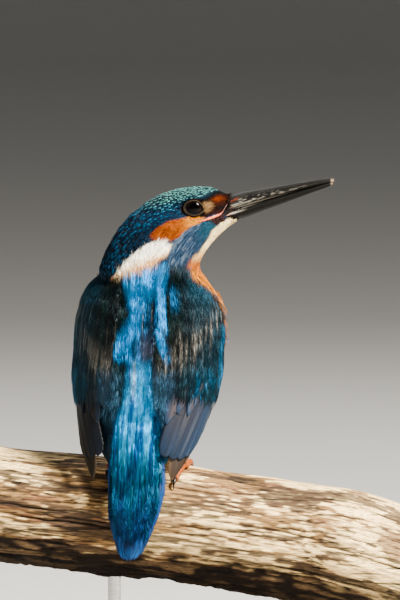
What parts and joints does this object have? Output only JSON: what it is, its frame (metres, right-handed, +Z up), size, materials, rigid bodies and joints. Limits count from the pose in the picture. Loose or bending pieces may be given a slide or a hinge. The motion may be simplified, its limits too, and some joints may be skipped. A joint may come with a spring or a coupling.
{
  "type": "common kingfisher on a display stand",
  "caption": "Still life-size common kingfisher seen perched upright on a short cut length of weathered branch, head turned to its right, held over a flat wooden base by two short rods.",
  "frame": {"origin": "centre of the base's underside, on the floor", "axes": "+Z up, +Y the way the bird's trunk faces, +X the bird's right, along the perch and the way its bill points"},
  "size_m": [0.163, 0.084, 0.1801],
  "materials": {
    "head_plumage": "blue-green and chestnut feathers, matt with a structural sheen",
    "body_plumage": "azure and dark blue feathers above, orange below",
    "wing_coverts": "dark green-blue feathers with pale azure tips",
    "wing_flight": "smooth slate-blue flight feathers",
    "wing_tips": "dark brown-grey flight feathers",
    "tail_coverts": "bright azure feathers",
    "tail_feathers": "dark blue tail feathers",
    "under_coverts": "orange feathers",
    "bill": "smooth black horn, worn grey, brown at the tip",
    "eye": "wet, dark brown",
    "leg": "orange-red scaled skin",
    "claw": "dark horn",
    "branch": "bare weathered wood, cracked along the grain",
    "base_wood": "dark satin-varnished wood",
    "rod_metal": "brushed steel"
  },
  "bodies": {
    "root": {"head": "head_plumage", "neck": "head_plumage", "trunk": "body_plumage", "bill_upper": "bill", "bill_lower": "bill", "eye_right": "eye", "eye_left": "eye", "tail_feathers": "tail_feathers", "tail_coverts_upper": "tail_coverts", "tail_coverts_lower": "under_coverts", "perch": "branch", "stand_base": "base_wood", "stand_rod_left": "rod_metal", "stand_rod_right": "rod_metal", "wing_right_coverts": "wing_coverts", "wing_right_secondaries": "wing_flight", "wing_right_primaries": "wing_tips", "leg_right": "leg", "claw_right_outer": "claw", "claw_right_middle": "claw", "claw_right_inner": "claw", "claw_right_hind": "claw", "wing_left_coverts": "wing_coverts", "wing_left_secondaries": "wing_flight", "wing_left_primaries": "wing_tips", "leg_left": "leg", "claw_left_outer": "claw", "claw_left_middle": "claw", "claw_left_inner": "claw", "claw_left_hind": "claw"}
  },
  "joints": []
}
